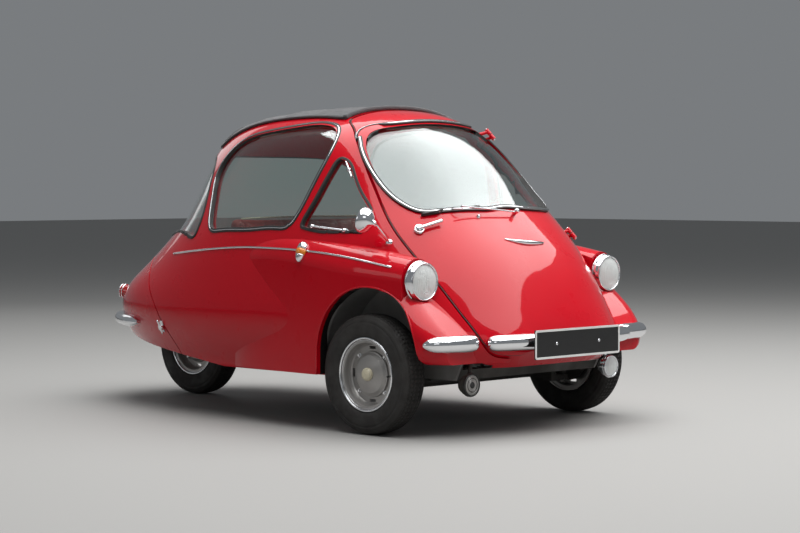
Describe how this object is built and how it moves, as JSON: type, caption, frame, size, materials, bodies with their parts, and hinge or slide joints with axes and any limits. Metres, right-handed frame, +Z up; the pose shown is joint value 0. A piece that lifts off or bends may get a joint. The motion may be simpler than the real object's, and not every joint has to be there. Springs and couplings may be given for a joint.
{
  "type": "bubble car",
  "caption": "Egg-shaped microcar with a front-opening door, panoramic windows, a bench seat, steered front wheels and a single rear wheel under a tail lid",
  "frame": {"origin": "middle of the bounding box on the ground the wheels stand on", "axes": "-Y is the way the car drives, +X is its left side, +Z is up"},
  "size_m": [1.3722, 2.55, 1.3091],
  "materials": {
    "body_paint": "gloss red enamel",
    "glass": "clear",
    "roof_fabric": "matt woven",
    "underside": "satin black",
    "chrome": "polished",
    "lamp_glass": "fluted",
    "tyre": "matt",
    "rim": "silver enamel",
    "engine": "cast",
    "seat": "leathercloth",
    "seat_frame": "satin",
    "ivory": "gloss",
    "plate": "gloss black",
    "red_lens": "gloss",
    "amber_lens": "gloss",
    "interior": "satin"
  },
  "bodies": {
    "car_body": {"cabin_shell": "body_paint", "fender_left": "body_paint", "fender_right": "body_paint", "floor_pan": "underside", "wheel_housing_left": "underside", "wheel_housing_right": "underside", "rear_bulkhead": "interior", "side_glass_left": "glass", "side_glass_right": "glass", "quarter_glass_left": "glass", "quarter_glass_right": "glass", "rear_glass": "glass", "sunroof": "roof_fabric", "headlamp_rims": "chrome", "headlamp_glasses": "lamp_glass", "front_axle_beam": "underside", "axle_yoke_left": "underside", "axle_yoke_right": "underside", "rear_swing_arm": "underside", "engine_block": "engine", "seat_cushion": "seat", "seat_base": "seat_frame", "seat_backrest": "seat", "steering_column": "underside", "front_bumpers": "chrome", "side_indicators": "amber_lens", "side_mirror": "chrome", "hinge_body_halves": "body_paint", "pedals": "underside", "exhaust": "underside", "fog_lamp": "chrome", "horn": "chrome"},
    "front_door": {"door_panel": "body_paint", "windscreen_glass": "glass", "door_bumpers": "chrome", "front_plate": "plate", "door_handle": "chrome", "wiper": "chrome", "hinge_door_halves": "body_paint"},
    "tail_lid": {"tail_lid_panel": "body_paint", "rear_plate": "plate", "tail_lamps": "red_lens", "rear_bumpers": "chrome"},
    "left_knuckle": {"knuckle_left": "underside"},
    "right_knuckle": {"knuckle_right": "underside"},
    "left_wheel": {"rim_front_left": "rim", "tyre_front_left": "tyre"},
    "right_wheel": {"rim_front_right": "rim", "tyre_front_right": "tyre"},
    "rear_wheel": {"rim_rear": "rim", "tyre_rear": "tyre"},
    "steering_ring": {"steering_wheel": "ivory"}
  },
  "joints": [
    {"name": "front_door_hinge", "type": "hinge", "parent": "car_body", "child": "front_door", "pos_m": [0.499, -0.824, 0.771], "axis": [-0.1877, 0.6437, 0.7419], "range_deg": [0, 75]},
    {"name": "tail_lid_hinge", "type": "hinge", "parent": "car_body", "child": "tail_lid", "pos_m": [0, 0.98706, 0.674], "axis": [1, 0, 0], "range_deg": [0, 60]},
    {"name": "steer_left", "type": "hinge", "parent": "car_body", "child": "left_knuckle", "pos_m": [0.54, -0.745, 0.2375], "axis": [0, 0, 1], "range_deg": [-30, 30]},
    {"name": "steer_right", "type": "hinge", "parent": "car_body", "child": "right_knuckle", "pos_m": [-0.54, -0.745, 0.2375], "axis": [0, 0, 1], "range_deg": [-30, 30]},
    {"name": "steering_wheel_turn", "type": "hinge", "parent": "car_body", "child": "steering_ring", "pos_m": [-0.24, -0.56391, 0.71647], "axis": [0, 0.5878, 0.809], "range_deg": [-450, 450]},
    {"name": "spin_front_left", "type": "hinge", "parent": "left_knuckle", "child": "left_wheel", "pos_m": [0.61, -0.745, 0.2375], "axis": [1, 0, 0], "continuous": true},
    {"name": "spin_front_right", "type": "hinge", "parent": "right_knuckle", "child": "right_wheel", "pos_m": [-0.61, -0.745, 0.2375], "axis": [1, 0, 0], "continuous": true},
    {"name": "spin_rear", "type": "hinge", "parent": "car_body", "child": "rear_wheel", "pos_m": [0, 1.015, 0.2375], "axis": [1, 0, 0], "continuous": true}
  ],
  "couplings": [
    {"joint": "steer_right", "follows": "steer_left", "ratio": 1},
    {"joint": "steering_wheel_turn", "follows": "steer_left", "ratio": 15}
  ]
}
